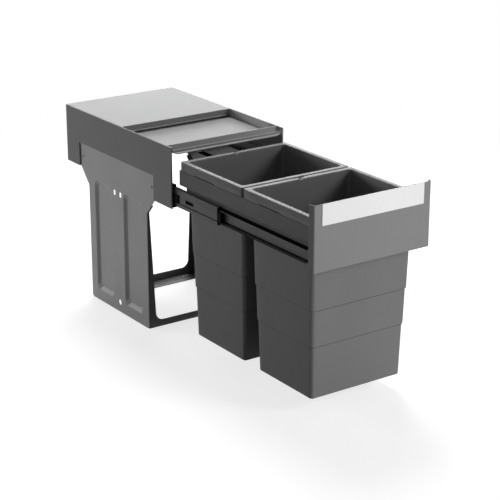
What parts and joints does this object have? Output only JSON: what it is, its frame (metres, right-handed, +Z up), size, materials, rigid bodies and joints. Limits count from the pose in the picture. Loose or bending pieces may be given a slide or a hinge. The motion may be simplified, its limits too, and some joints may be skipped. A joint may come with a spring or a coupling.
{
  "type": "pull out bin frame",
  "caption": "Pull-out waste bin frame for a narrow base cabinet: steel frame with tray cover, full-extension slides, drawer with hanging bins and a front panel.",
  "frame": {"origin": "middle of the four base fixing holes, on the underside of the frame", "axes": "+Z up, +Y towards the back of the cabinet (the drawer pulls out along -Y), +X to the right seen from the front"},
  "size_m": [0.2616, 0.852, 0.401],
  "materials": {
    "plate_paint": "satin anthracite powder coat",
    "frame_paint": "satin dark powder coat",
    "cover_paint": "satin anthracite powder coat",
    "slide_steel": "dark rolled steel",
    "ball_steel": "polished",
    "screw_steel": "dark zinc",
    "black_plastic": "matt",
    "bracket_paint": "satin",
    "label": "satin, blank",
    "bin_plastic": "fine matt grain"
  },
  "bodies": {
    "frame": {"side_plate_left": "plate_paint", "side_plate_right": "plate_paint", "front_stay": "frame_paint", "rear_stay": "frame_paint", "top_cover": "cover_paint", "storage_tray": "cover_paint", "slide_outer_left": "slide_steel", "slide_outer_right": "slide_steel", "outer_stop_left": "black_plastic", "outer_stop_right": "black_plastic"},
    "drawer": {"slide_inner_left": "slide_steel", "slide_inner_right": "slide_steel", "drawer_side_left": "frame_paint", "drawer_side_right": "frame_paint", "slide_screws_left": "screw_steel", "slide_screws_right": "screw_steel", "cross_bar_rear": "frame_paint", "cross_bar_middle": "frame_paint", "front_panel": "cover_paint", "label_plate": "label", "panel_screws": "screw_steel", "rear_bracket": "bracket_paint", "bracket_body": "black_plastic", "bracket_screws": "screw_steel", "bin_rear": "bin_plastic", "bin_front": "bin_plastic"},
    "middle_left": {"slide_middle_left": "slide_steel", "middle_stop_left": "black_plastic"},
    "outer_cage_left": {"cage_outer_left": "slide_steel", "balls_outer_left": "ball_steel"},
    "inner_cage_left": {"cage_inner_left": "slide_steel", "balls_inner_left": "ball_steel"},
    "middle_right": {"slide_middle_right": "slide_steel", "middle_stop_right": "black_plastic"},
    "outer_cage_right": {"cage_outer_right": "slide_steel", "balls_outer_right": "ball_steel"},
    "inner_cage_right": {"cage_inner_right": "slide_steel", "balls_inner_right": "ball_steel"}
  },
  "joints": [
    {"name": "pull_out", "type": "slide", "parent": "frame", "child": "drawer", "axis": [0, 1, 0], "range_m": [0, 0.4]},
    {"name": "middle_run_left", "type": "slide", "parent": "frame", "child": "middle_left", "axis": [0, 1, 0], "range_m": [0, 0.2]},
    {"name": "outer_cage_run_left", "type": "slide", "parent": "frame", "child": "outer_cage_left", "axis": [0, 1, 0], "range_m": [0, 0.1]},
    {"name": "inner_cage_run_left", "type": "slide", "parent": "frame", "child": "inner_cage_left", "axis": [0, 1, 0], "range_m": [0, 0.3]},
    {"name": "middle_run_right", "type": "slide", "parent": "frame", "child": "middle_right", "axis": [0, 1, 0], "range_m": [0, 0.2]},
    {"name": "outer_cage_run_right", "type": "slide", "parent": "frame", "child": "outer_cage_right", "axis": [0, 1, 0], "range_m": [0, 0.1]},
    {"name": "inner_cage_run_right", "type": "slide", "parent": "frame", "child": "inner_cage_right", "axis": [0, 1, 0], "range_m": [0, 0.3]}
  ],
  "couplings": [
    {"joint": "middle_run_left", "follows": "pull_out", "ratio": 0.5},
    {"joint": "outer_cage_run_left", "follows": "pull_out", "ratio": 0.25},
    {"joint": "inner_cage_run_left", "follows": "pull_out", "ratio": 0.75},
    {"joint": "middle_run_right", "follows": "pull_out", "ratio": 0.5},
    {"joint": "outer_cage_run_right", "follows": "pull_out", "ratio": 0.25},
    {"joint": "inner_cage_run_right", "follows": "pull_out", "ratio": 0.75}
  ]
}
